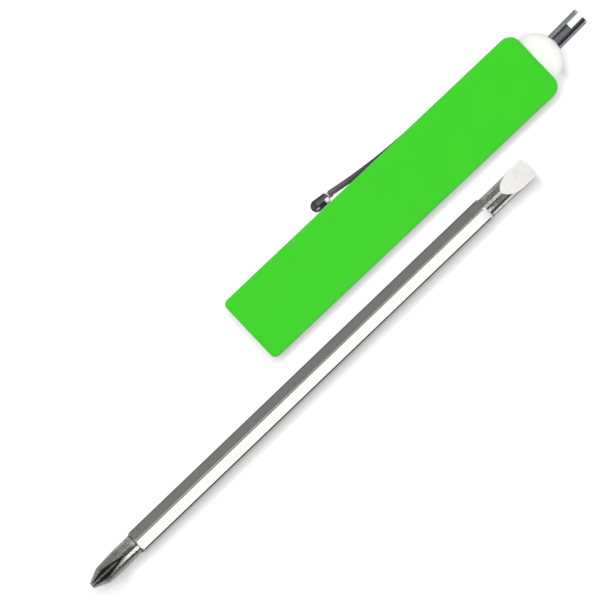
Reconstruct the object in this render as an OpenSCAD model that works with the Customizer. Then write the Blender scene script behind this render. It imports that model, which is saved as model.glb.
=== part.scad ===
// Pocket screwdriver, lying on a table with its reversible blade beside it.
// X runs along the barrel from its mouth to its cap, Y points to the side with the
// clip, and Z is up. The origin is the middle of the barrel's underside.

/* [Barrel] */
// Length of the barrel from its mouth to its top face
barrel_len = 81.4; // [70:0.1:110]
// Width and height of the square section
barrel_w = 15.7; // [15:0.1:20]
// Rounding of the four long edges
long_edge_r = 1.8; // [1:0.1:3]
// Rounding of the edges round the mouth
mouth_edge_r = 1.3; // [0.5:0.1:2.2]
// Rounding of the edges round the top face
top_edge_r = 2.7; // [2:0.1:3.6]

/* [Blade socket] */
// Clearance between the blade and its socket on each side
socket_gap = 0.1; // [0.05:0.01:0.2]
// Depth of the round lead-in at the mouth
lead_in_depth = 2.5; // [1.5:0.1:4]
// How far the lead-in's wall stands outside the socket's corners
lead_in_step = 0.14; // [0.1:0.01:0.4]
// Chamfer round the mouth of the lead-in
lead_in_chamfer = 0.5; // [0.2:0.1:1]
// Wall between the end of the blade socket and the cap's socket
end_wall = 2; // [1.2:0.1:4]

/* [Blade spring] */
// Length of the bowed leaf spring
spring_len = 15; // [10:0.5:22]
// Width of the spring
spring_w = 2.2; // [1.6:0.1:2.6]
// Thickness of the spring
spring_t = 0.35; // [0.2:0.05:0.5]
// How far the bow of the spring reaches into the empty socket
spring_bite = 0.2; // [0.12:0.02:0.4]
// Depth of the spring's pocket below the socket's flat
pocket_depth = 1.2; // [0.9:0.1:1.6]
// Solid wall between the lead-in and the spring's pocket
pocket_wall = 1.5; // [1:0.1:3]
// Clearance round the spring in its pocket
pocket_gap = 0.15; // [0.1:0.01:0.25]

/* [Cap] */
// Radius of the dome
dome_r = 5.65; // [5.2:0.05:6.2]
// Depth to which the dome is let into the top face
rim_depth = 0.3; // [0.2:0.1:0.8]
// Radius of the cap's spigot
spigot_r = 4.4; // [3.8:0.1:4.6]
// Length of the spigot below the rim
spigot_len = 6; // [5.6:0.1:8]
// Chamfer at the end of the spigot
spigot_chamfer = 0.5; // [0.2:0.1:1]
// Clearance between the cap and its sockets
cap_gap = 0.05; // [0.02:0.01:0.1]
// Space left under the spigot
spigot_end_gap = 0.25; // [0.1:0.05:0.3]

/* [Valve core fork] */
// Outer width of the fork's channel
fork_w = 3.45; // [2.8:0.05:3.8]
// Height of the channel's side walls, with the web
fork_h = 2.3; // [1.6:0.1:3]
// Thickness of the fork's sheet
fork_t = 0.55; // [0.4:0.05:0.7]
// Outer radius of the bends between web and walls
fork_bend_r = 0.75; // [0.7:0.05:1]
// Reach of the fork beyond the top of the dome
fork_reach = 7.6; // [5:0.1:12]
// Depth of the fork's root below the barrel's top face
fork_root = 5; // [4.6:0.1:5.4]
// Width of the slot between the prongs
fork_slot_w = 1.45; // [1.2:0.05:1.9]
// Length of the slot from the tips
fork_slot_len = 3.35; // [2.5:0.05:4.5]
// Rounding of the prongs' tips
fork_tip_r = 0.4; // [0.2:0.05:0.6]
// Diameter of the keying hole in the fork's root
key_hole_d = 1.5; // [1:0.1:1.8]
// Clearance round the fork in the cap
fork_gap = 0.05; // [0.02:0.01:0.08]
// Turn of the fork about its own axis, in degrees
fork_roll = 12; // [0:1:20]
// Lean of the fork towards the clip side, in degrees
fork_lean = 1.7; // [0:0.1:2]

/* [Clip] */
// Width of the clip's arm
clip_w = 4.4; // [3.6:0.1:5.4]
// Height of the arm's channel section
clip_h = 1.2; // [0.9:0.05:1.5]
// Thickness of the clip's sheet
clip_t = 0.5; // [0.4:0.05:0.7]
// Outer radius along the arm's folded edges
clip_fold_r = 0.65; // [0.6:0.05:0.8]
// Length of the arm that lies flush in the barrel's side
clip_flush_len = 20; // [15:0.5:24]
// Radius of the arm's long curve
clip_curve_r = 122; // [110:1:140]
// Length of the curved stretch of the arm
clip_curve_len = 22.5; // [21:0.1:24]
// Wall between the cap's socket and the slot for the clip's tab
anchor_wall = 0.6; // [0.5:0.1:2]
// Width of the tab that is bent into the barrel
tab_w = 3; // [2:0.1:3.4]
// Inner radius of the bend from arm to tab
tab_bend_r = 0.4; // [0.3:0.05:0.6]
// Wall left between the tab's slot and the blade socket
tab_wall = 1; // [0.6:0.1:1.5]
// Clearance round the tab in its slot
tab_gap = 0.28; // [0.2:0.01:0.3]
// Clearance beside and under the arm in its recess
recess_gap = 0.25; // [0.2:0.01:0.3]

/* [Clip ball] */
// Length of the ball end
ball_len = 4.4; // [3.6:0.1:5.5]
// Radius of the ball's round nose
ball_r = 1.3; // [1.2:0.05:1.4]
// Width of the ball end
ball_w = 4.2; // [3.6:0.1:5]
// Rounding of the ball's heel, at the neck
heel_r = 0.6; // [0.3:0.05:0.6]
// Taper of the ball from its nose to its heel, to each side of its axis, in degrees
ball_taper = 3.7; // [0:0.1:6]
// Length of the neck between arm and ball
neck_len = 0.6; // [0.3:0.1:1]
// Width of that neck
neck_w = 2.8; // [2:0.1:3.2]
// How far the neck lies below the arm's outer face
neck_drop = 0.2; // [0.1:0.02:0.3]
// Gap between the ball and the barrel's side
ball_gap = 0.05; // [0.02:0.01:0.1]

/* [Blade] */
// Length of the blade from tip to tip
blade_len = 124.4; // [100:0.1:150]
// Width of the hexagon across its flats
blade_af = 5; // [4.7:0.01:5.2]
// Rounding of the hexagon's long edges
hex_edge_r = 0.65; // [0.2:0.01:0.9]
// Length of the cross-tipped end, from its tip to the hexagon
cross_end_len = 12.6; // [11:0.1:16]
// Length of the slotted end, from its tip to the hexagon
slot_end_len = 12.1; // [11:0.1:16]
// Radius by which the round necks stay inside the flats
neck_step = 0.15; // [0.05:0.01:0.2]
// Length of the hexagon's end chamfers
hex_chamfer_len = 0.77; // [0.4:0.01:1.2]

/* [Cross tip] */
// Diameter of the flat at the very tip
cross_tip_d = 1.35; // [1.2:0.05:1.6]
// Length of the cone
cross_cone_len = 3.1; // [2.6:0.05:3.6]
// Distance of the flutes' bottoms from the axis, at the tip
flute_core_r = 0.55; // [0.5:0.01:0.62]
// Rise of the flutes' bottoms at the tip, in degrees
flute_rise = 5.75; // [5:0.25:7]
// Radius of the wheel that cuts the flutes
flute_wheel_r = 45; // [38:0.5:60]
// Angle between a flute's two sides, in degrees
flute_angle = 92; // [88:1:96]
// Width of the flat at the bottom of a flute
flute_land_w = 0.2; // [0.1:0.02:0.24]

/* [Slotted tip] */
// Width of the slotted tip
slot_tip_w = 4.72; // [4.5:0.01:5.2]
// Thickness of the slotted tip at its end
slot_tip_t = 0.9; // [0.7:0.05:1]
// Thickness where the flats meet the forged shoulders
slot_root_t = 1.1; // [1:0.05:1.3]
// Length of the flat stretch behind the tip
slot_flat_len = 3.05; // [2.5:0.05:4]
// Length of the forged shoulders behind the flats
slot_shoulder_len = 4.9; // [4.4:0.1:6]
// Rounding at the heel of the forged shoulders
heel_bend_r = 1.8; // [1:0.1:2.2]
// Hollow rounding where the forged shoulders meet the flats
root_bend_r = 4; // [2.5:0.1:4.5]
// Rounding of the tip's two corners
slot_corner_r = 0.3; // [0.1:0.05:0.5]

/* [Blade as it lies] */
// Free distance between the barrel and the middle of the blade's hexagon
blade_beside = 4.92; // [2:0.1:20]
// Distance of the blade's middle behind the barrel's middle
blade_back = 37.93; // [20:0.1:60]
// Turn of the blade in plan, in degrees
blade_yaw = 0.37; // [0:0.01:1]
// Lean of the hexagon's upper ridge towards the barrel, in degrees
blade_roll = 10.5; // [0:0.5:25]
// Lean of the slotted tip's flat towards the barrel, in degrees
slot_lean = 6; // [0:0.5:20]

/* [Hidden] */
$fn = 72;

// overrun of every cut past the face that it opens
over = 1;

half_len = barrel_len / 2;
half_w = barrel_w / 2;
face_y = half_w;
top_x = half_len;
// the dome is a half ball that stands in its recess in the top face
dome_x = top_x - rim_depth;
mouth_x = -half_len;

// blade and its socket
blade_r = blade_af / 2 / cos(30);
blade_neck_r = blade_af / 2 - neck_step;
socket_flat = blade_af / 2 + socket_gap;
socket_r = socket_flat / cos(30);
lead_in_r = socket_r + lead_in_step;

// sockets for the cap, from the top face inwards
cap_socket_depth = rim_depth + spigot_len + spigot_end_gap;
cap_socket_end = top_x - cap_socket_depth;
socket_end = cap_socket_end - end_wall;

// spring pocket
pocket_start = mouth_x + lead_in_depth + pocket_wall;
spring_start = pocket_start + pocket_gap;
spring_mid = spring_start + spring_len / 2;
pocket_floor = socket_flat + pocket_depth;
spring_bow = pocket_depth + spring_bite - spring_t;
spring_r = (pow(spring_len / 2, 2) + pow(spring_bow, 2)) / (2 * spring_bow);
spring_half_angle = asin(spring_len / 2 / spring_r);

// clip: the tab's outer face, the hinge line in its bend, and the end of the flush arm
recess_depth = clip_h + recess_gap;
anchor_x = cap_socket_end - anchor_wall - tab_gap;
tab_outer_r = tab_bend_r + clip_t;
hinge_x = anchor_x - tab_outer_r;
hinge_y = face_y - tab_outer_r;
tab_end_y = socket_r + tab_wall + tab_gap;
curve_start = anchor_x - clip_flush_len;
curve_angle = clip_curve_len / clip_curve_r * 180 / PI;
arm_end_x = curve_start - clip_curve_r * sin(curve_angle);
arm_end_y = face_y + clip_curve_r * (1 - cos(curve_angle));
// the curve's inner edge comes out of the barrel's side here
arm_clear_x = curve_start - sqrt(2 * clip_curve_r * clip_h);
recess_start = arm_clear_x - recess_gap;
recess_end = anchor_x + tab_gap;
heel_x = arm_end_x - neck_len;
nose_x = heel_x - ball_len;

// blade: the two shoulders of the hexagon along its own axis
half_blade = blade_len / 2;
cross_shoulder = -half_blade + cross_end_len;
slot_shoulder = half_blade - slot_end_len;
flute_depth = blade_neck_r + over - flute_core_r;
// the forged shoulders start this far above the neck, so that they cut it cleanly
forge_lift = neck_step / 6;
// centres of the hexagon's rounded edges
hex_edge_place = blade_r - hex_edge_r / cos(30);
// height of the axis of the lying blade, and its reach towards the barrel
blade_axis_z = hex_edge_place * cos(blade_roll) + hex_edge_r;
blade_reach_y = hex_edge_place * sin(60 + blade_roll) + hex_edge_r;

// turned(): a profile drawn with its radius along X and its axis along Y, spun about X
module turned(sweep = 360) {
    rotate([0, 90, 0]) rotate_extrude(angle = sweep) children();
}

// along_x(): a section drawn in Y and Z, drawn out along X from x0 to x1
module along_x(x0, x1) {
    translate([x0, 0, 0]) rotate([90, 0, 90]) linear_extrude(x1 - x0) children();
}

// end_rounded(): lengthwise outline with its own corner radius at each end
module end_rounded(half_h) {
    translate([mouth_x + mouth_edge_r, -half_h])
        square([barrel_len - mouth_edge_r - top_edge_r, 2 * half_h]);
    translate([mouth_x, -half_h + mouth_edge_r])
        square([barrel_len - top_edge_r, 2 * (half_h - mouth_edge_r)]);
    translate([mouth_x + mouth_edge_r, -half_h + top_edge_r])
        square([barrel_len - mouth_edge_r, 2 * (half_h - top_edge_r)]);
    for (side = [-1, 1]) {
        translate([mouth_x + mouth_edge_r, side * (half_h - mouth_edge_r)]) circle(mouth_edge_r);
        translate([top_x - top_edge_r, side * (half_h - top_edge_r)]) circle(top_edge_r);
    }
}

// rounded_square(): the barrel's section
module rounded_square(w, r) {
    square([w, w - 2 * r], center = true);
    square([w - 2 * r, w], center = true);
    for (y = [-1, 1], z = [-1, 1]) translate([y * (w / 2 - r), z * (w / 2 - r)]) circle(r);
}

// arch(): a block with its top edge at y = 0, rounded at its two upper corners
module arch(w, h, r) {
    translate([-w / 2, -h]) square([w, h - r]);
    translate([-w / 2 + r, -h]) square([w - 2 * r, h]);
    for (side = [-1, 1]) translate([side * (w / 2 - r), -r]) circle(r);
}

// channel(): a folded sheet with its web on top, grown by gap on every face
module channel(w, h, t, r, gap = 0) {
    difference() {
        translate([0, gap]) arch(w + 2 * gap, h + 2 * gap, r + gap);
        translate([0, -t - gap])
            arch(w - 2 * t - 2 * gap, h + over, max(r - t - gap, cap_gap));
    }
}

// Barrel: rounded in section, in plan and in side view, and once more round its corners
module barrel_blank() {
    corner_reach = sqrt(2) * (half_w - long_edge_r) + long_edge_r;
    intersection() {
        along_x(mouth_x - over, top_x + over) rounded_square(barrel_w, long_edge_r);
        linear_extrude(barrel_w + 2 * over, center = true) end_rounded(half_w);
        rotate([90, 0, 0]) linear_extrude(barrel_w + 2 * over, center = true) end_rounded(half_w);
        turned() intersection() {
            rotate(90) end_rounded(corner_reach);
            translate([0, -barrel_len]) square(2 * barrel_len);
        }
    }
}

// Hexagonal blade socket, with a flat downwards for the spring, and its round lead-in
module blade_socket() {
    along_x(mouth_x - over, socket_end) circle(socket_r, $fn = 6);
    along_x(mouth_x - over, mouth_x + lead_in_depth) circle(lead_in_r);
    turned() polygon([
        [0, mouth_x - over],
        [lead_in_r + lead_in_chamfer + over, mouth_x - over],
        [lead_in_r, mouth_x + lead_in_chamfer],
        [0, mouth_x + lead_in_chamfer]
    ]);
}

module cap_sockets() {
    along_x(dome_x, top_x + over) circle(dome_r + cap_gap);
    along_x(cap_socket_end, top_x) circle(spigot_r + cap_gap);
}

module spring_pocket() {
    translate([pocket_start, -spring_w / 2 - pocket_gap, -pocket_floor])
        cube([spring_len + 2 * pocket_gap, spring_w + 2 * pocket_gap, pocket_floor]);
}

module clip_recess() {
    translate([recess_start, face_y - recess_depth, -clip_w / 2 - recess_gap])
        cube([recess_end - recess_start, recess_depth + over, clip_w + 2 * recess_gap]);
    translate([anchor_x - clip_t - tab_gap, tab_end_y - tab_gap, -tab_w / 2 - tab_gap])
        cube([clip_t + 2 * tab_gap, face_y - tab_end_y, tab_w + 2 * tab_gap]);
}

module barrel() {
    color([0.27, 0.84, 0.18]) translate([0, 0, half_w]) difference() {
        barrel_blank();
        blade_socket();
        cap_sockets();
        spring_pocket();
        clip_recess();
    }
}

// The fork and its slot in the cap share this place: rolled, and leaning about the dome
module fork_place() {
    translate([top_x, 0, 0]) rotate([0, 0, fork_lean]) rotate([fork_roll, 0, 0])
        translate([-top_x, 0, 0]) children();
}

// fork_section(): the channel's section in Y and Z, open at the top
module fork_section(gap = 0) {
    translate([0, -fork_h / 2]) mirror([0, 1])
        channel(fork_w, fork_h, fork_t, fork_bend_r, gap);
}

fork_start = top_x - fork_root;
fork_end = dome_x + dome_r + fork_reach;
key_hole_x = fork_start + fork_root / 2;

// outline of the prongs' tips, seen from above or from the side
module tip_outline(w) {
    translate([fork_start - over, -w / 2]) square([fork_end - fork_start + over - fork_tip_r, w]);
    translate([fork_start - over, -w / 2 + fork_tip_r])
        square([fork_end - fork_start + over, w - 2 * fork_tip_r]);
    for (side = [-1, 1]) translate([fork_end - fork_tip_r, side * (w / 2 - fork_tip_r)])
        circle(fork_tip_r);
}

module valve_fork() {
    color([0.2, 0.21, 0.22]) translate([0, 0, half_w]) fork_place() difference() {
        intersection() {
            along_x(fork_start, fork_end) fork_section();
            linear_extrude(2 * fork_h, center = true) tip_outline(fork_w);
            rotate([90, 0, 0]) linear_extrude(2 * fork_w, center = true) tip_outline(fork_h);
        }
        translate([fork_end - fork_slot_len, -fork_slot_w / 2, -fork_h])
            cube([fork_slot_len + over, fork_slot_w, fork_h]);
        translate([key_hole_x, 0, -fork_h]) cylinder(h = fork_h, d = key_hole_d);
    }
}

// Cap: a turned plug, moulded round the fork's root and through its keying hole
module top_cap() {
    color([0.96, 0.96, 0.95]) translate([0, 0, half_w]) difference() {
        union() {
            intersection() {
                translate([dome_x, 0, 0]) sphere(dome_r);
                along_x(dome_x, dome_x + 2 * dome_r) circle(dome_r + over);
            }
            turned() polygon([
                [0, top_x],
                [spigot_r, top_x],
                [spigot_r, dome_x - spigot_len + spigot_chamfer],
                [spigot_r - spigot_chamfer, dome_x - spigot_len],
                [0, dome_x - spigot_len]
            ]);
        }
        fork_place() difference() {
            along_x(fork_start - fork_gap, fork_end) fork_section(fork_gap);
            translate([key_hole_x, 0, -fork_h])
                cylinder(h = 2 * fork_h, d = key_hole_d - 2 * fork_gap);
        }
    }
}

// clip_section(): the arm's channel, with its web outwards, as depth and width
module clip_section() {
    channel(clip_w, clip_h, clip_t, clip_fold_r);
}

module clip_arm() {
    flange_end = hinge_x - clip_t;
    // flush stretch
    translate([0, face_y, 0]) along_x(curve_start, flange_end) rotate(-90) clip_section();
    // long curve
    translate([curve_start, face_y + clip_curve_r, 0]) mirror([1, 0, 0]) rotate([0, 0, 270])
        rotate_extrude(angle = curve_angle)
            translate([clip_curve_r, 0]) rotate(90) clip_section();
    // strip from the arm to the bend
    translate([flange_end - over, face_y - clip_t, -tab_w / 2])
        cube([hinge_x - flange_end + over, clip_t, tab_w]);
}

module clip_tab() {
    translate([hinge_x, hinge_y, 0]) rotate_extrude(angle = 90)
        translate([tab_bend_r, -tab_w / 2]) square([clip_t, tab_w]);
    translate([anchor_x - clip_t, tab_end_y, -tab_w / 2])
        cube([clip_t, hinge_y - tab_end_y, tab_w]);
}

// bullet(): the ball's lengthwise outline, round at the nose and tapering to its heel
module bullet() {
    body_len = ball_len - ball_r;
    rim_x = body_len - heel_r;
    rim_y = (ball_r - heel_r - rim_x * sin(ball_taper)) / cos(ball_taper);
    circle(ball_r);
    for (side = [-1, 1]) translate([rim_x, side * rim_y]) circle(heel_r);
    polygon([
        [ball_r * sin(ball_taper), ball_r * cos(ball_taper)],
        [rim_x + heel_r * sin(ball_taper), rim_y + heel_r * cos(ball_taper)],
        [rim_x, rim_y],
        [body_len, rim_y],
        [body_len, -rim_y],
        [rim_x, -rim_y],
        [rim_x + heel_r * sin(ball_taper), -rim_y - heel_r * cos(ball_taper)],
        [ball_r * sin(ball_taper), -ball_r * cos(ball_taper)]
    ]);
}

// Ball end, with its lower side flat on the barrel, and the neck behind it
module clip_ball() {
    spread = ball_w / 2 - ball_r;
    translate([nose_x + ball_r, face_y + ball_gap + ball_r, 0]) rotate([0, 0, -ball_taper]) {
        linear_extrude(2 * spread, center = true) bullet();
        for (side = [-1, 1]) translate([0, 0, side * spread]) rotate([side * 90, 0, 0])
            turned(180) intersection() {
                rotate(90) bullet();
                translate([0, -ball_len]) square(2 * ball_len);
            }
    }
    translate([arm_end_x, arm_end_y, 0]) rotate([0, 0, -curve_angle])
        translate([0, -neck_drop, 0]) along_x(-neck_len - heel_r, clip_t)
            rotate(-90) channel(neck_w, clip_h - neck_drop, clip_t, clip_fold_r);
}

module pocket_clip() {
    color([0.42, 0.4, 0.43]) translate([0, 0, half_w]) {
        clip_arm();
        clip_tab();
        clip_ball();
    }
}

// hex_section(): the blade's hexagon, with one rounded edge upwards
module hex_section() {
    for (a = [0:60:300]) rotate(a) {
        translate([0, hex_edge_place]) circle(hex_edge_r);
        rotate(30) translate([-hex_edge_place / 2, 0])
            square([hex_edge_place, blade_af / 2]);
    }
}

// Hexagonal shaft with turned end chamfers
module blade_shaft() {
    intersection() {
        along_x(cross_shoulder, slot_shoulder) hex_section();
        turned() polygon([
            [0, cross_shoulder - over],
            [blade_af / 2, cross_shoulder - over],
            [blade_af / 2, cross_shoulder],
            [blade_r, cross_shoulder + hex_chamfer_len],
            [blade_r + over, cross_shoulder + hex_chamfer_len],
            [blade_r + over, slot_shoulder - hex_chamfer_len],
            [blade_r, slot_shoulder - hex_chamfer_len],
            [blade_af / 2, slot_shoulder],
            [blade_af / 2, slot_shoulder + over],
            [0, slot_shoulder + over]
        ]);
    }
}

// One flute, cut by a wheel with a blunt V edge that rises out of the neck
module flute() {
    half_land = flute_land_w / 2;
    half_open = half_land + flute_depth * tan(flute_angle / 2);
    wheel_x = -half_blade - flute_wheel_r * sin(flute_rise);
    wheel_z = flute_core_r + flute_wheel_r * cos(flute_rise);
    translate([wheel_x, 0, wheel_z]) rotate([90, 0, 0]) rotate_extrude() polygon([
        [flute_wheel_r, -half_land],
        [flute_wheel_r, half_land],
        [flute_wheel_r - flute_depth, half_open],
        [flute_wheel_r - flute_depth, -half_open]
    ]);
}

// Cross tip: a cone on the neck with four milled flutes, one of them upwards
module cross_end() {
    difference() {
        turned() polygon([
            [0, -half_blade],
            [cross_tip_d / 2, -half_blade],
            [blade_neck_r, -half_blade + cross_cone_len],
            [blade_neck_r, cross_shoulder + over],
            [0, cross_shoulder + over]
        ]);
        for (a = [0:90:270]) rotate([a, 0, 0]) flute();
    }
}

// forged_half(): upper half of the slotted tip in side view: a round heel, a straight
// shoulder tangent to it, a hollow root tangent to the shoulder, and the flat
module forged_half() {
    flat_x = half_blade - slot_flat_len;
    bend_x = flat_x - slot_shoulder_len;
    bend_y = blade_neck_r + forge_lift - heel_bend_r;
    root_y = slot_root_t / 2 + root_bend_r;
    rise = bend_y - root_y;
    slope = atan2(rise, slot_shoulder_len)
        + asin((heel_bend_r + root_bend_r) / norm([slot_shoulder_len, rise]));
    tangent = [sin(slope), cos(slope)];
    translate([slot_shoulder, 0]) square([bend_x - slot_shoulder, blade_af]);
    intersection() {
        translate([bend_x, bend_y]) circle(heel_bend_r);
        translate([bend_x, 0]) square(blade_af);
    }
    difference() {
        polygon([
            [bend_x, 0],
            [bend_x, bend_y],
            [bend_x, bend_y] + heel_bend_r * tangent,
            [flat_x, root_y] - root_bend_r * tangent,
            [flat_x, slot_root_t / 2],
            [half_blade, slot_tip_t / 2],
            [half_blade, 0]
        ]);
        translate([flat_x, root_y]) circle(root_bend_r);
    }
}

// Slotted tip: the round neck flattened between dies, and spread to its full width
module slot_end() {
    half_tip = slot_tip_w / 2;
    r = slot_corner_r;
    intersection() {
        union() {
            along_x(slot_shoulder - over, half_blade) circle(blade_neck_r);
            linear_extrude(slot_root_t, center = true) polygon([
                [half_blade - slot_flat_len - slot_shoulder_len / 2, blade_neck_r - neck_step],
                [half_blade, half_tip],
                [half_blade, -half_tip],
                [half_blade - slot_flat_len - slot_shoulder_len / 2, -blade_neck_r + neck_step]
            ]);
        }
        rotate([90, 0, 0]) linear_extrude(2 * blade_af, center = true) {
            translate([slot_shoulder - over, -blade_r]) square([over, 2 * blade_r]);
            forged_half();
            mirror([0, 1]) forged_half();
        }
        linear_extrude(2 * blade_af, center = true) {
            translate([slot_shoulder - over, -blade_af])
                square([half_blade - slot_shoulder + over - r, 2 * blade_af]);
            translate([slot_shoulder - over, -half_tip + r])
                square([half_blade - slot_shoulder + over, 2 * (half_tip - r)]);
            for (side = [-1, 1]) translate([half_blade - r, side * (half_tip - r)]) circle(r);
        }
    }
}

module blade() {
    color([0.8, 0.8, 0.79])
        translate([-blade_back, -half_w - blade_beside - blade_reach_y, blade_axis_z])
            rotate([0, 0, blade_yaw]) {
                rotate([-blade_roll, 0, 0]) blade_shaft();
                rotate([-slot_lean, 0, 0]) slot_end();
                cross_end();
            }
}

// Leaf spring: a bowed strip whose ends stand on the pocket's floor
module blade_spring() {
    color([0.6, 0.6, 0.58])
        translate([spring_mid, 0, half_w - socket_flat + spring_bite - spring_r])
            rotate([90, 0, 0]) rotate([0, 0, 90 - spring_half_angle])
                rotate_extrude(angle = 2 * spring_half_angle)
                    translate([spring_r - spring_t, -spring_w / 2]) square([spring_t, spring_w]);
}

barrel();
top_cap();
valve_fork();
pocket_clip();
blade();
blade_spring();
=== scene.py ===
"""Looks for the pocket screwdriver: a green barrel with its loose blade, seen from straight above.

Every visible surface is a solid of the frame. This script gives each solid its material, and
adds the floor, the lights and the camera. Lengths are in metres, and places in the node trees in
millimetres."""

import math

import bpy
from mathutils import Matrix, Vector

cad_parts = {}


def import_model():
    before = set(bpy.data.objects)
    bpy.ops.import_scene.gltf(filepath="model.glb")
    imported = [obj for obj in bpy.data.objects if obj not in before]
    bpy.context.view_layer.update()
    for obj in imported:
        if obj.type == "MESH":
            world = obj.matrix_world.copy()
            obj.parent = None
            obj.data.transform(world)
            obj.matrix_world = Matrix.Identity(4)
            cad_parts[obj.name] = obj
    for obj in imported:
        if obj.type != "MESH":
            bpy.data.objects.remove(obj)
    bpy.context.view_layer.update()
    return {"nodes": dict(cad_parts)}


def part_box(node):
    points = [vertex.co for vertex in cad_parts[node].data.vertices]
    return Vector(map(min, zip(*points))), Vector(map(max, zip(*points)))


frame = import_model()

MM = 0.001

# The photograph's frame: its width, its middle, and its turn about Z in degrees
VIEW_WIDTH = 123.36 * MM
VIEW_CENTRE = Vector((-28.57 * MM, -2.47 * MM, 0))
VIEW_TURN = 43.395
# The level at which the frame has that width, the camera's height over it, and the range it sees
VIEW_LEVEL = 8 * MM
CAMERA_HEIGHT = 4.5
CAMERA_RANGE = (0.5, 60)
SENSOR_WIDTH = 36.0

# Colours, as sRGB levels
GREEN = (62, 213, 36)
WHITE = (253, 252, 250)
BRIGHT_STEEL = (190, 189, 187)
SMOKED_STEEL = (133, 119, 129)
DARK_STEEL = (126, 130, 136)
# The pale grey of the painted highlight on the fork's rims
RIM_HIGHLIGHT_STEEL = (158, 160, 160)
SPRING_STEEL = (176, 175, 170)
FLOOR_WHITE = (250, 250, 250)

# The barrel, the cap and the blade, from the frame
BARREL_LOW, BARREL_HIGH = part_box("barrel")
CAP_LOW, CAP_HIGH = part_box("top_cap")
BLADE_LOW, BLADE_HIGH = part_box("blade")

# The blade lies along X, and its hexagon ends at two shoulders
BLADE_Y = -15.43 * MM
CROSS_SHOULDER = BLADE_LOW[0] + 12.6 * MM
SLOT_SHOULDER = BLADE_HIGH[0] - 12.1 * MM
# The middle of the cross tip, which is a little off the blade's line
CROSS_TIP_Y = BLADE_Y - 0.34 * MM
CROSS_TIP_Z = BLADE_HIGH[2] / 2
# Where what belongs to the cross tip's end goes over to the slotted end's, in millimetres along X
BETWEEN_ENDS = (-10, 10)

# The fork stands at the barrel's middle height, and is turned about its length
FORK_Z = (BARREL_LOW[2] + BARREL_HIGH[2]) / 2
FORK_ROLL = math.radians(12)


def linear(level):
    """One sRGB level, 0 to 255, as a linear value, by the standard's own curve."""
    part = level / 255
    return part / 12.92 if part <= 0.04045 else ((part + 0.055) / 1.055) ** 2.4


def rgba(colour):
    return (*(linear(level) for level in colour), 1)


def grey(level):
    return (level, level, level, 1)


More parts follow.
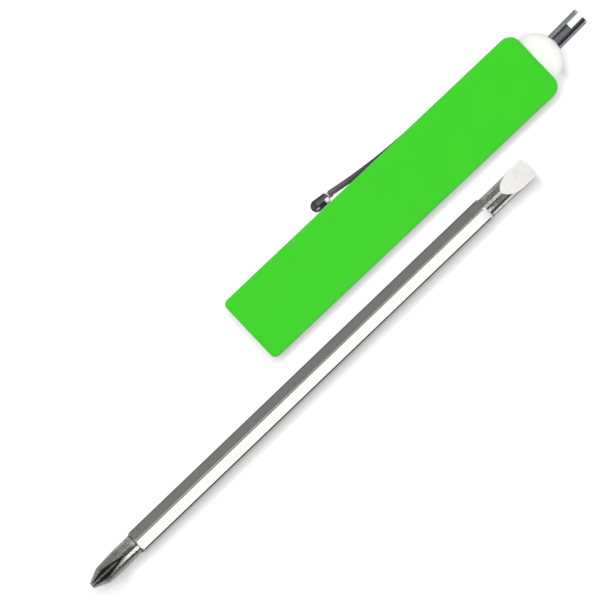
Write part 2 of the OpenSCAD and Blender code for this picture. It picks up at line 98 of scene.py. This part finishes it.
class Nodes:
    """Writes a node tree line by line.

    The inputs of a mix node go by number: 0 is its factor, 2 and 3 are two numbers, and 6 and 7
    are two colours. Its output 0 is a number, and 2 a colour."""

    # The values of a noise at which a cloud is darkest, and at which it ends
    CLOUD = (0.25, 0.75)

    def __init__(self, tree):
        self.tree = tree
        tree.nodes.clear()

    def add(self, kind, **inputs):
        """A new node. A key that starts with _ is a property, and any other an input.

        An input goes by its name, with _ for a space, or by its number, as in0, in1 and so on."""
        node = self.tree.nodes.new(kind)
        for key, value in inputs.items():
            if key.startswith("_"):
                setattr(node, key[1:], value)
            else:
                self.feed(node, key.replace("_", " "), value)
        return node

    def feed(self, node, name, value):
        """Links an input to a socket or to a node's first output, or sets it to a plain value."""
        numbered = name.startswith("in") and name[2:].isdigit()
        socket = node.inputs[int(name[2:]) if numbered else name]
        if isinstance(value, bpy.types.Node):
            value = value.outputs[0]
        if isinstance(value, bpy.types.NodeSocket):
            self.tree.links.new(value, socket)
        else:
            socket.default_value = value

    def math(self, operation, first, second=0.0, third=0.0):
        node = self.add("ShaderNodeMath", _operation=operation, in0=first, in1=second, in2=third)
        return node.outputs[0]

    def minus(self, first, second):
        return self.math("SUBTRACT", first, second)

    def product(self, first, *others):
        for other in others:
            first = self.math("MULTIPLY", first, other)
        return first

    def away(self, value, middle):
        """How far the value is from the middle, on either side."""
        return self.math("ABSOLUTE", self.minus(value, middle))

    def share(self, value, start, end):
        """0 where the value is at the start, 1 where it is at the end, and the same beyond each."""
        return self.add("ShaderNodeMapRange", Value=value, From_Min=start, From_Max=end).outputs[0]

    def spread(self, value, low, high):
        """A value from 0 to 1, as one from low to high."""
        return self.add("ShaderNodeMapRange", Value=value, To_Min=low, To_Max=high).outputs[0]

    def blend(self, factor, first, second):
        """Of two numbers, the first where the factor is 0 and the second where it is 1."""
        return self.add("ShaderNodeMix", in0=factor, in2=first, in3=second).outputs[0]

    def mix(self, factor, first, second):
        """Of two colours, the first where the factor is 0 and the second where it is 1."""
        node = self.add("ShaderNodeMix", _data_type="RGBA", in0=factor, in6=first, in7=second)
        return node.outputs[2]

    def times(self, first, second):
        """Two colours, multiplied."""
        node = self.add(
            "ShaderNodeMix", _data_type="RGBA", _blend_type="MULTIPLY", in0=1.0, in6=first, in7=second
        )
        return node.outputs[2]

    def mix_shaders(self, factor, first, second):
        return self.add("ShaderNodeMixShader", in0=factor, in1=first, in2=second)

    def ramp(self, value, stops):
        """A colour by a value from 0 to 1, from a list of (value, colour)."""
        node = self.add("ShaderNodeValToRGB", Fac=value)
        elements = node.color_ramp.elements
        while len(elements) > 1:
            elements.remove(elements[-1])
        for index, (position, colour) in enumerate(stops):
            element = elements[0] if index == 0 else elements.new(position)
            element.position = position
            element.color = colour
        return node.outputs["Color"]

    def shades(self, value, stops):
        """A grey by a value from 0 to 1, from a list of (value, level)."""
        return self.ramp(value, [(position, grey(level)) for position, level in stops])

    def by_place(self, value, stops):
        """A grey by a value of any range, from a list of (value, level)."""
        start, end = stops[0][0], stops[-1][0]
        shares = [((place - start) / (end - start), level) for place, level in stops]
        return self.shades(self.share(value, start, end), shares)

    def tint(self, value, colour, depth):
        """The colour, darkened by up to depth in the clouds of a noise."""
        dark = tuple(level * (1 - depth) for level in rgba(colour)[:3]) + (1,)
        darkest, clear = self.CLOUD
        return self.ramp(value, [(darkest, dark), (clear, rgba(colour))])

    def place(self, stretch=(1, 1, 1)):
        """Object coordinates in millimetres, scaled along each axis."""
        coordinates = self.add("ShaderNodeTexCoord").outputs["Object"]
        scale = Vector(stretch) / MM
        node = self.add("ShaderNodeVectorMath", _operation="MULTIPLY", in0=coordinates, in1=scale)
        return node.outputs[0]

    def axes(self):
        """The three object coordinates, in millimetres."""
        x, y, z = self.add("ShaderNodeSeparateXYZ", Vector=self.place()).outputs
        return x, y, z

    def noise(self, vector, scale, detail=2.0, roughness=0.5):
        node = self.add(
            "ShaderNodeTexNoise", Vector=vector, Scale=scale, Detail=detail, Roughness=roughness
        )
        return node.outputs["Fac"]

    def camera_ray(self):
        return self.add("ShaderNodeLightPath").outputs["Is Camera Ray"]

    def reflected_ray(self):
        """1 for a ray that comes from a reflection or through something clear."""
        path = self.add("ShaderNodeLightPath").outputs
        return self.math("MAXIMUM", path["Is Glossy Ray"], path["Is Transmission Ray"])


def new_material(name):
    material = bpy.data.materials.new(name)
    material.use_nodes = True
    return material, Nodes(material.node_tree)


# Plastics: how deep the grain is, how far it varies the roughness, and how broad the clouds are
GRAIN_DEPTH = 0.02 * MM
GRAIN_ROUGHNESS = 0.04
PLASTIC_CLOUDS = 0.12


def plastic(name, colour, roughness, specular, grain, depth, bump):
    """Moulded plastic: fine satin grain, and a broad, faint unevenness in its colour."""
    material, nodes = new_material(name)
    fine = nodes.noise(nodes.place(), grain, detail=3.0)
    broad = nodes.noise(nodes.place(), PLASTIC_CLOUDS)
    shader = nodes.add(
        "ShaderNodeBsdfPrincipled",
        Base_Color=nodes.tint(broad, colour, depth),
        Roughness=nodes.spread(fine, roughness - GRAIN_ROUGHNESS, roughness + GRAIN_ROUGHNESS),
        Specular_IOR_Level=specular,
        Normal=nodes.add("ShaderNodeBump", Height=fine, Strength=bump, Distance=GRAIN_DEPTH),
    )
    nodes.add("ShaderNodeOutputMaterial", Surface=shader)
    return material


def green_plastic():
    """The barrel's satin green."""
    return plastic(
        "green_plastic", GREEN, roughness=0.45, specular=0.2, grain=6.0, depth=0.03, bump=0.12
    )


def white_plastic():
    """The cap's white, smoother than the barrel."""
    return plastic(
        "white_plastic", WHITE, roughness=0.3, specular=0.4, grain=3.0, depth=0.02, bump=0.05
    )


# Metals: how deep the drawn lines are, how far they vary the roughness, and how broad and how
# dark the clouds of the plating are
LINE_DEPTH = 0.01 * MM
SMOOTHEST = 0.75
ROUGHEST = 1.25
METAL_CLOUDS = 0.5
METAL_CLOUD_DEPTH = 0.08
# The open share of the sky over a place at which the painted shade in grooves and inner corners is
# darkest, and at which it ends
HOLLOW_SHADE_DARKEST = 0.45
HOLLOW_SHADE_ENDS = 0.85


def painted_hollow_shade(nodes, reach, dark):
    """Painted shade: 1 on open faces, down to dark in grooves and inner corners less than reach
    across.
    """
    sky = nodes.add("ShaderNodeAmbientOcclusion", _samples=8, _only_local=True, Distance=reach)
    return nodes.shades(sky.outputs["AO"], [(HOLLOW_SHADE_DARKEST, dark), (HOLLOW_SHADE_ENDS, 1.0)])


def metal(name, colour, roughness, grain, stretch, bump, reach=0.8 * MM, dark=0.25, wear=None):
    """Worked metal: drawn lines, a cloudy plating, and painted shade in its grooves and inner corners.

    wear, where given, turns the plain colour and the lines into a worn and partly painted colour, a
    height, and how
    metallic the surface still is: less where it is too dull to mirror anything, as under painted
    highlights."""
    material, nodes = new_material(name)
    lines = nodes.noise(nodes.place(stretch), grain, detail=4.0, roughness=0.6)
    clouds = nodes.noise(nodes.place(), METAL_CLOUDS, detail=3.0)
    plain = nodes.tint(clouds, colour, METAL_CLOUD_DEPTH)
    height, metallic = lines, 1.0
    if wear:
        plain, height, metallic = wear(nodes, plain, lines)
    # The base colour carries painted shade in grooves and inner corners
    shader = nodes.add(
        "ShaderNodeBsdfPrincipled",
        Base_Color=nodes.times(plain, painted_hollow_shade(nodes, reach, dark)),
        Metallic=metallic,
        Roughness=nodes.spread(lines, roughness * SMOOTHEST, roughness * ROUGHEST),
        Normal=nodes.add("ShaderNodeBump", Height=height, Strength=bump, Distance=LINE_DEPTH),
    )
    nodes.add("ShaderNodeOutputMaterial", Surface=shader)
    return material


# The blade's rough ends, in millimetres past a shoulder: where the roughness starts and is full,
# where the slotted tip's faces are smooth again, and how rough those still are
ROUGH_FROM = (0.2, 0.9)
SMOOTH_AGAIN = (4.2, 5.0)
SMOOTH_FACE = 0.15
# Pits: how fine they are, how they darken and brighten the steel, and how deep they are against
# the drawn lines
PIT_GRAIN = 2.6
PIT_SHADES = [(0.32, 0.62), (0.5, 0.95), (0.68, 1.25)]
PIT_DEPTH = 2.0
# Painted glints: how fine they are, the factor of that along each axis, how they brighten the steel,
# where they end on the cross tip's neck, and how strong they are at the slotted end
GLINT_GRAIN = 3.4
GLINT_STRETCH = (2.2, 0.8, 0.8)
GLINT_SHADES = [(0.54, 0.88), (0.66, 2.5)]
GLINTS_END = (4.5, 3.0)
SLOTTED_GLINTS = 0.3
# A painted highlight and a painted shade line at the cross tip's shoulder: millimetres from it towards
# +X, level
SHOULDER_HIGHLIGHT_AND_SHADE = [
    (-4.0, 1.0), (-0.9, 1.05), (-0.7, 1.5), (-0.22, 1.5), (-0.04, 0.5), (0.14, 0.5), (0.32, 1.0),
]
# The painted highlight line along each flute's floor: millimetres from its middle at which it ends and
# is full, millimetres from the tip's end at which it ends and is full, how pits break it up, and its
# level
FLUTE_HIGHLIGHT_SIDE = (0.24, 0.08)
FLUTE_HIGHLIGHT_END = (7.6, 6.0)
FLUTE_HIGHLIGHT_BREAKS = (-0.3, 1.9)
FLUTE_HIGHLIGHT_SHADES = [(0.0, 0.5), (1.5, 0.26)]


def past_shoulders(nodes, x):
    """How far a place along X is past the nearer shoulder of the hexagon, in millimetres."""
    middle = (CROSS_SHOULDER + SLOT_SHOULDER) / 2 / MM
    half = (SLOT_SHOULDER - CROSS_SHOULDER) / 2 / MM
    return nodes.minus(nodes.away(x, middle), half)


def rough_share(nodes, x):
    """1 where forging and milling left the blade rough, and 0 on its hexagon."""
    start = nodes.share(past_shoulders(nodes, x), *ROUGH_FROM)
    smooth = nodes.share(nodes.minus(x, SLOT_SHOULDER / MM), *SMOOTH_AGAIN)
    return nodes.product(start, nodes.spread(smooth, 1.0, SMOOTH_FACE))


def painted_glints(nodes, steel, x, rough):
    """Painted glints on the two necks."""
    grains = nodes.noise(nodes.place(GLINT_STRETCH), GLINT_GRAIN, detail=1.0)
    # Painted glints: the grains brighten the steel
    bright = nodes.times(steel, nodes.shades(grains, GLINT_SHADES))
    cross_glints = nodes.share(past_shoulders(nodes, x), *GLINTS_END)
    strength = nodes.blend(nodes.share(x, *BETWEEN_ENDS), cross_glints, SLOTTED_GLINTS)
    return nodes.mix(nodes.product(strength, rough), steel, bright)


def flute_highlight_line(nodes, x, y, z, pits):
    """1 on a painted highlight: a dull, pale line along the floor of each flute."""
    from_middle = nodes.math(
        "MINIMUM", nodes.away(y, CROSS_TIP_Y / MM), nodes.away(z, CROSS_TIP_Z / MM)
    )
    from_end = nodes.minus(x, BLADE_LOW[0] / MM)
    return nodes.product(
        nodes.share(from_middle, *FLUTE_HIGHLIGHT_SIDE),
        nodes.share(from_end, *FLUTE_HIGHLIGHT_END),
        nodes.spread(pits, *FLUTE_HIGHLIGHT_BREAKS),
    )


def pitted_ends(nodes, plain, lines):
    """Beyond the hexagon's two shoulders the steel is pitted, with painted glints on the necks, a
    painted highlight and shade line at the cross tip's shoulder, and a painted highlight line along
    each flute.
    """
    x, y, z = nodes.axes()
    rough = rough_share(nodes, x)
    pits = nodes.noise(nodes.place(), PIT_GRAIN, roughness=0.6)
    worn = nodes.mix(rough, plain, nodes.times(plain, nodes.shades(pits, PIT_SHADES)))
    # Painted glints on the two necks
    worn = painted_glints(nodes, worn, x, rough)
    # A painted highlight and a painted shade line at the cross tip's shoulder
    from_shoulder = nodes.minus(x, CROSS_SHOULDER / MM)
    worn = nodes.times(worn, nodes.by_place(from_shoulder, SHOULDER_HIGHLIGHT_AND_SHADE))
    # A painted highlight line along each flute's floor
    dull = flute_highlight_line(nodes, x, y, z, pits)
    from_end = nodes.minus(x, BLADE_LOW[0] / MM)
    worn = nodes.mix(dull, worn, nodes.by_place(from_end, FLUTE_HIGHLIGHT_SHADES))
    height = nodes.math("ADD", lines, nodes.product(pits, rough, PIT_DEPTH))
    return worn, height, nodes.minus(1.0, dull)


def bright_steel():
    """The blade's plating, rough at its two ends, with painted glints, highlights and shade there."""
    return metal(
        "bright_plated_steel",
        BRIGHT_STEEL,
        roughness=0.09,
        grain=2.5,
        stretch=(0.15, 1, 1),
        bump=0.15,
        dark=0.18,
        wear=pitted_ends,
    )


# The painted highlight on the fork's rims, in millimetres up from its line: where it starts and is
# full, and how far the drawn lines make its edge uneven
RIM_HIGHLIGHT_FROM = (0.95, 1.2)
RIM_HIGHLIGHT_EDGE = 0.2
# The inner corner with painted shade, in millimetres across and up: where it starts and is full
SHADED_CORNER_ACROSS = (0.35, 0.65)
SHADED_CORNER_UP = (0.2, -0.2)
SHADED_CORNER_LEVEL = 0.3


def fork_section(nodes):
    """How far a place is from the fork's line, in millimetres, across and up as the fork is turned."""
    _, y, z = nodes.axes()
    z = nodes.minus(z, FORK_Z / MM)
    sine = math.sin(FORK_ROLL)
    cosine = math.cos(FORK_ROLL)
    across = nodes.math("MULTIPLY_ADD", y, cosine, nodes.product(z, sine))
    up = nodes.math("MULTIPLY_ADD", z, cosine, nodes.product(y, -sine))
    return across, up


def rim_highlight_and_corner_shade(nodes, plain, lines):
    """A painted highlight along the rims of the fork's two walls, and painted shade in one inner
    corner.
    """
    across, up = fork_section(nodes)
    rim = nodes.share(nodes.math("MULTIPLY_ADD", lines, RIM_HIGHLIGHT_EDGE, up), *RIM_HIGHLIGHT_FROM)
    corner = nodes.product(nodes.share(across, *SHADED_CORNER_ACROSS), nodes.share(up, *SHADED_CORNER_UP))
    # Painted shade in one inner corner
    worn = nodes.mix(corner, plain, nodes.times(plain, grey(SHADED_CORNER_LEVEL)))
    # A painted highlight along the rims
    return nodes.mix(rim, worn, rgba(RIM_HIGHLIGHT_STEEL)), lines, 1.0


def black_steel():
    """The fork's blackened finish, with a painted highlight on its rims and painted shade in one inner
    corner.
    """
    return metal(
        "black_steel",
        DARK_STEEL,
        roughness=0.16,
        grain=3.0,
        stretch=(0.4, 1, 1),
        bump=0.3,
        reach=0.6 * MM,
        wear=rim_highlight_and_corner_shade,
    )


# The clip by its place along X, in millimetres: its level, darker at the ball and towards the root,
# with a painted highlight at the heel; and how dull it is
CLIP_LEVEL_BY_X = [
    (-14.1, 0.4), (-13.2, 0.3), (-12.6, 0.13), (-10.2, 0.13), (-9.9, 0.5),
    (-9.4, 0.55), (-6.8, 0.36), (-2.0, 0.16), (3.1, 0.08), (12.0, 0.07),
]
CLIP_DULL = [(-14.2, 0.4), (-13.6, 0.85), (-10.0, 0.85), (-9.8, 0.5), (-9.5, 0.8), (12.0, 0.8)]
# Painted highlights at the ball's nose, at its heel and at its neck: where each starts, is full, fades
# and ends, in millimetres along X and along Y, and its colour, low in green, against the green that
# the barrel's light adds
CLIP_PAINTED_HIGHLIGHTS = [
    ((-13.5, -13.2, -12.7, -12.4), (8.3, 8.45, 8.65, 8.8), (0.85, 0.55, 0.75, 1)),
    ((-11.0, -10.5, -9.9, -9.7), (8.0, 8.15, 8.95, 9.1), (1.9, 1.2, 1.7, 1)),
    ((-9.9, -9.75, -9.5, -9.35), (8.0, 8.2, 9.9, 10.1), (1.0, 0.8, 0.95, 1)),
]
HIGHLIGHT_EDGE_LEVELS = (0, 1, 1, 0)


def clip_levels_and_highlights(nodes, plain, lines):
    """The clip darkens from its heel towards its root, and carries painted highlights at its ball's
    nose, heel and neck.
    """
    x, y, _ = nodes.axes()
    # Darker at the ball and towards the root, with a painted highlight at the heel
    worn = nodes.times(plain, nodes.by_place(x, CLIP_LEVEL_BY_X))
    dull = nodes.by_place(x, CLIP_DULL)
    for along_x, along_y, colour in CLIP_PAINTED_HIGHLIGHTS:
        # A painted highlight on the ball
        painted_highlight = nodes.product(
            nodes.by_place(x, list(zip(along_x, HIGHLIGHT_EDGE_LEVELS))),
            nodes.by_place(y, list(zip(along_y, HIGHLIGHT_EDGE_LEVELS))),
        )
        worn = nodes.mix(painted_highlight, worn, colour)
        dull = nodes.math("MAXIMUM", dull, painted_highlight)
    return worn, lines, nodes.minus(1.0, dull)


def smoked_steel():
    """The clip's dark plating, with painted highlights at its ball."""
    return metal(
        "dark_plated_steel",
        SMOKED_STEEL,
        roughness=0.1,
        grain=2.0,
        stretch=(0.2, 1, 1),
        bump=0.1,
        wear=clip_levels_and_highlights,
    )


def spring_steel():
    """The leaf spring's plain steel, inside the barrel."""
    return metal(
        "spring_steel", SPRING_STEEL, roughness=0.25, grain=2.0, stretch=(0.2, 1, 1), bump=0.1
    )


def assign(node, material):
    """Gives a node of the frame its material."""
    for slot in frame["nodes"][node].material_slots:
        slot.link = "OBJECT"
        slot.material = material


def add_object(name, data):
    thing = bpy.data.objects.new(name, data)
    bpy.context.scene.collection.objects.link(thing)
    return thing


def new_mesh(name, corners, faces, material):
    mesh = bpy.data.meshes.new(name)
    mesh.from_pydata(corners, [], faces)
    mesh.materials.append(material)
    return mesh


# The floor: half its width, and the faint clouds of the light that it throws back
FLOOR_HALF = 30.0
FLOOR_CLOUDS = 0.05
FLOOR_CLOUD_DEPTH = 0.02
# The floor, seen directly: its own glow, and its share of the light that falls on it
FLOOR_GLOW = 0.97
FLOOR_LIT = 0.09
# The object's shadow lies on the side away from a light that leans towards +Y, in degrees
SHADOW_LEAN = 60
# How far the shadow reaches from the barrel, the blade, its raised tips and the cap, and how deep
# it is there
BARREL_SHADOW = (2.1 * MM, 0.7)
BLADE_SHADOW = (2.9 * MM, 0.74)
CROSS_TIP_SHADOW = (3.8 * MM, 0.8)
SLOT_TIP_SHADOW = (4.3 * MM, 1.9)
CAP_SHADOW = (5.1 * MM, 1.4)
# Where each shadow starts and is full, in millimetres along X or along Y
BLADE_FROM_Y = (-11.5, -12.5)
CROSS_TIP_FROM_X = (CROSS_SHOULDER / MM - 4, CROSS_SHOULDER / MM - 7)
SLOT_TIP_FROM_X = (SLOT_SHOULDER / MM + 4, SLOT_SHOULDER / MM + 12)
CAP_FROM_X = (CAP_HIGH[0] / MM - 6, CAP_HIGH[0] / MM - 3)
CAP_FROM_Y = (CAP_LOW[1] / MM - 2.6, CAP_LOW[1] / MM - 1.0)
# Past the slotted tip's end the shadow fades out to a share of its depth
PAST_END_X = (BLADE_HIGH[0] / MM - 0.2, BLADE_HIGH[0] / MM + 0.9)
PAST_END_DEPTH = 0.15


def shadow_measures(nodes, x, y):
    """How far the object's shadow reaches at a place on the floor, and how deep it is."""
    by_cross_tip = nodes.share(x, *CROSS_TIP_FROM_X)
    by_slot_tip = nodes.share(x, *SLOT_TIP_FROM_X)
    by_blade = nodes.share(y, *BLADE_FROM_Y)
    by_cap = nodes.product(nodes.share(x, *CAP_FROM_X), nodes.share(y, *CAP_FROM_Y))
    shadows = (BARREL_SHADOW, BLADE_SHADOW, CROSS_TIP_SHADOW, SLOT_TIP_SHADOW, CAP_SHADOW)
    measures = []
    # The five shadows' reaches, and then their depths
    for barrel, blade, cross_tip, slot_tip, cap in zip(*shadows):
        measure = nodes.blend(by_cross_tip, blade, cross_tip)
        measure = nodes.blend(by_slot_tip, measure, slot_tip)
        measure = nodes.blend(by_blade, barrel, measure)
        measures.append(nodes.blend(by_cap, measure, cap))
    reach, depth = measures
    past_end = nodes.product(nodes.share(x, *PAST_END_X), by_slot_tip, by_blade)
    return reach, nodes.product(depth, nodes.blend(past_end, 1.0, PAST_END_DEPTH))


def floor_seen(nodes, x, y):
    """The floor's glow as the camera sees it, less the object's narrow shadow."""
    reach, depth = shadow_measures(nodes, x, y)
    lean = math.radians(SHADOW_LEAN)
    toward_light = nodes.add("ShaderNodeCombineXYZ", Y=math.sin(lean), Z=math.cos(lean))
    sky = nodes.add("ShaderNodeAmbientOcclusion", _samples=16, Normal=toward_light, Distance=reach)
    hidden = nodes.minus(1.0, sky.outputs["AO"])
    return nodes.minus(FLOOR_GLOW, nodes.product(depth, hidden))


# What reflections show of the floor, beside the hexagon and beyond its two shoulders: millimetres
# from the blade's line towards +Y, level
FLOOR_BY_HEXAGON = [(-7.0, 0.03), (-4.5, 0.66), (2.0, 0.66), (3.0, 0.21)]
FLOOR_BY_CROSS_TIP = [(-12.0, 0.6), (-5.0, 0.84), (5.0, 0.66), (16.0, 0.42)]
FLOOR_BY_SLOT_TIP = [(-12.0, 1.35), (-5.0, 0.47), (5.0, 0.6), (16.0, 0.42)]
# Millimetres past a shoulder at which the hexagon's levels end and are full
HEXAGON_END = (1, 0)


def floor_mirrored(nodes, x, y):
    """What reflections show of the floor."""
    off_line = nodes.minus(y, BLADE_Y / MM)
    by_cross_tip = nodes.by_place(off_line, FLOOR_BY_CROSS_TIP)
    by_slot_tip = nodes.by_place(off_line, FLOOR_BY_SLOT_TIP)
    by_tips = nodes.mix(nodes.share(x, *BETWEEN_ENDS), by_cross_tip, by_slot_tip)
    by_hexagon = nodes.by_place(off_line, FLOOR_BY_HEXAGON)
    return nodes.mix(nodes.share(past_shoulders(nodes, x), *HEXAGON_END), by_tips, by_hexagon)


def floor_material():
    """Seen directly, the floor glows and keeps the shadow. Reflections show levels of their own.

    The light that it throws back on the object is that of plain white."""
    material, nodes = new_material("floor")
    x, y, _ = nodes.axes()
    lit = nodes.add("ShaderNodeBsdfDiffuse", Color=grey(FLOOR_LIT))
    glow = nodes.add("ShaderNodeEmission", Color=grey(1.0), Strength=floor_seen(nodes, x, y))
    seen = nodes.add("ShaderNodeAddShader", in0=lit, in1=glow)
    clouds = nodes.noise(nodes.place(), FLOOR_CLOUDS)
    white = nodes.tint(clouds, FLOOR_WHITE, FLOOR_CLOUD_DEPTH)
    thrown = nodes.add("ShaderNodeBsdfDiffuse", Color=white)
    mirrored = nodes.add("ShaderNodeEmission", Color=floor_mirrored(nodes, x, y))
    plain = nodes.mix_shaders(nodes.camera_ray(), thrown, seen)
    surface = nodes.mix_shaders(nodes.reflected_ray(), plain, mirrored)
    nodes.add("ShaderNodeOutputMaterial", Surface=surface)
    return material


def floor():
    """A plain white floor under the object."""
    half = FLOOR_HALF
    corners = [(-half, -half, 0), (half, -half, 0), (half, half, 0), (-half, half, 0)]
    mesh = new_mesh("floor", corners, [(0, 1, 2, 3)], floor_material())
    add_object("floor", mesh)


# The grey block that reflections show for the barrel: the level of its upper part, and of its
# lower part beside the hexagon and beside the slotted tip
BLOCK_UPPER = 0.37
BLOCK_BY_HEXAGON = 0.2
BLOCK_BY_SLOT_TIP = 0.58
# Where the upper part starts and is full, in millimetres up, and the same of the slotted tip's, in
# millimetres along X
BLOCK_UPPER_FROM = (3.5, 5)
BLOCK_SLOT_TIP_FROM = (SLOT_SHOULDER / MM, SLOT_SHOULDER / MM + 1)


def block_material():
    """An even glow, in greys of its own."""
    material, nodes = new_material("reflected_barrel")
    x, _, z = nodes.axes()
    by_slot_tip = nodes.share(x, *BLOCK_SLOT_TIP_FROM)
    lower = nodes.mix(by_slot_tip, grey(BLOCK_BY_HEXAGON), grey(BLOCK_BY_SLOT_TIP))
    shade = nodes.mix(nodes.share(z, *BLOCK_UPPER_FROM), lower, grey(BLOCK_UPPER))
    glow = nodes.add("ShaderNodeEmission", Color=shade, Strength=1.0)
    nodes.add("ShaderNodeOutputMaterial", Surface=glow)
    return material


def reflected_barrel():
    """The photograph's metal shows a grey body where the barrel is, and no green.

    So reflections leave the barrel out and show this block in its place, which nothing else sees."""
    frame["nodes"]["barrel"].visible_glossy = False
    (left, near, bottom), (right, far, top) = BARREL_LOW, BARREL_HIGH
    around = [(left, near), (right, near), (right, far), (left, far)]
    corners = [(x, y, z) for z in (bottom, top) for x, y in around]
    sides = [(i, (i + 1) % 4, (i + 1) % 4 + 4, i + 4) for i in range(4)]
    faces = [(3, 2, 1, 0), (4, 5, 6, 7), *sides]
    mesh = new_mesh("reflected_barrel", corners, faces, block_material())
    block = add_object("reflected_barrel", mesh)
    for ray in ("camera", "diffuse", "transmission", "volume_scatter", "shadow"):
        setattr(block, "visible_" + ray, False)


def lamp(name, width, depth, way, distance, power, target):
    """A soft box that stands along way from its target, and looks at it."""
    light = bpy.data.lights.new(name, "AREA")
    light.shape = "RECTANGLE"
    light.size = width
    light.size_y = depth
    light.energy = power
    box = add_object(name, light)
    way = Vector(way).normalized()
    box.location = target + way * distance
    box.rotation_euler = way.to_track_quat("Z", "Y").to_euler()
    box.visible_camera = False
    return box


# The key lamp: its lean from the zenith towards +Y, in degrees, its size, distance and watts
KEY_LEAN = 7
KEY_SIZE = 0.5
KEY_DISTANCE = 3.0
KEY_POWER = 25.0


def key():
    """The lamp that lights the object. Reflections don't show it."""
    lean = math.radians(KEY_LEAN)
    way = (0, math.sin(lean), math.cos(lean))
    box = lamp("key", KEY_SIZE, KEY_SIZE, way, KEY_DISTANCE, KEY_POWER, VIEW_CENTRE)
    box.visible_glossy = False


# Cards over the blade that only reflections show: name, distance, where each starts and ends
# along X, the two angles between which it stands, from the zenith towards +Y, and its level
CARDS = [
    ("long_panel", 0.09, CROSS_SHOULDER - 4.9 * MM, SLOT_SHOULDER + 1.3 * MM, -54, -23, 1.77),
    ("side_panel", 0.09, CROSS_SHOULDER - 4.9 * MM, SLOT_SHOULDER + 0.8 * MM, -92, -68, 0.2),
    ("flute_panel", 0.09, CROSS_SHOULDER - 15 * MM, CROSS_SHOULDER - 4.9 * MM, -90, -38, 0.2),
    ("ridge_strip", 0.09, CROSS_SHOULDER - 1.2 * MM, SLOT_SHOULDER + 1.2 * MM, 0, 39, 0.62),
    ("tip_strip", 0.2, SLOT_SHOULDER + 2 * MM, BLADE_HIGH[0] + 4 * MM, -1, 33, 1.22),
]


def card(name, distance, start, end, low, high, level):
    """A strip of light over one stretch of the blade, which looks at it.

    A lamp's brightness is its power, shared over pi times its area."""
    middle = math.radians((low + high) / 2)
    half = math.radians((high - low) / 2)
    width = end - start
    depth = 2 * distance * math.tan(half)
    way = (0, math.sin(middle), math.cos(middle))
    target = Vector(((start + end) / 2, BLADE_Y, 0))
    power = level * math.pi * width * depth
    strip = lamp(name, width, depth, way, distance, power, target)
    strip.visible_diffuse = False


# The light of the sky: its level overhead and low down
SKY_HIGH = 0.50
SKY_LOW = 1.25
# What reflections show of the studio behind the cards: degrees from the zenith towards +Y, level
STUDIO_BANDS = [
    (-100, 0.28), (-88, 0.16), (-81, 0.0), (-70, 0.0), (-63, 0.08), (-50, 0.24), (-40, 0.21),
    (-28, 0.17), (-12, 0.17), (-4, 0.06), (4, 0.05), (13, 0.12), (23, 0.24), (33, 0.40),
    (45, 0.46), (57, 0.36), (70, 0.34), (80, 0.36), (100, 0.36),
]
# Towards +X and towards -X the studio is pale: the share of X in a ray's way at which that
# starts and is full, and its level
PALE_AHEAD = (0.03, 0.06)
AHEAD_LEVEL = 1.8
PALE_BEHIND = (-0.6, -0.9)
BEHIND_LEVEL = 0.9


def studio_mirrored(nodes, x, y, z):
    """What reflections show of the studio, by the way that they look."""
    turn = nodes.math("MULTIPLY_ADD", nodes.math("ARCTAN2", y, z), 0.5 / math.pi, 0.5)
    bands = nodes.shades(turn, [(0.5 + angle / 360, level) for angle, level in STUDIO_BANDS])
    level = nodes.mix(nodes.share(x, *PALE_AHEAD), bands, grey(AHEAD_LEVEL))
    return nodes.mix(nodes.share(x, *PALE_BEHIND), level, grey(BEHIND_LEVEL))


def world():
    """The sky's light, what reflections show in its place, and the white behind the object."""
    studio = bpy.data.worlds.new("studio")
    bpy.context.scene.world = studio
    studio.use_nodes = True
    nodes = Nodes(studio.node_tree)
    way = nodes.add("ShaderNodeTexCoord").outputs["Generated"]
    x, y, z = nodes.add("ShaderNodeSeparateXYZ", Vector=way).outputs
    sky = nodes.shades(z, [(0.0, SKY_LOW), (1.0, SKY_HIGH)])
    light = nodes.mix(nodes.reflected_ray(), sky, studio_mirrored(nodes, x, y, z))
    light = nodes.mix(nodes.camera_ray(), light, grey(1.0))
    nodes.add("ShaderNodeOutputWorld", Surface=nodes.add("ShaderNodeBackground", Color=light))


def camera():
    """Straight above, and so high that it has next to no perspective, turned as the photograph is."""
    data = bpy.data.cameras.new("camera")
    data.sensor_width = SENSOR_WIDTH
    data.lens = SENSOR_WIDTH * CAMERA_HEIGHT / VIEW_WIDTH
    data.clip_start, data.clip_end = CAMERA_RANGE
    stand = add_object("camera", data)
    stand.location = VIEW_CENTRE + Vector((0, 0, VIEW_LEVEL + CAMERA_HEIGHT))
    stand.rotation_euler = (0, 0, -math.radians(VIEW_TURN))
    bpy.context.scene.camera = stand
    bpy.context.scene.view_settings.view_transform = "Standard"


assign("barrel", green_plastic())
assign("top_cap", white_plastic())
assign("blade", bright_steel())
assign("pocket_clip", smoked_steel())
assign("valve_fork", black_steel())
assign("blade_spring", spring_steel())
floor()
reflected_barrel()
key()
for row in CARDS:
    card(*row)
world()
camera()
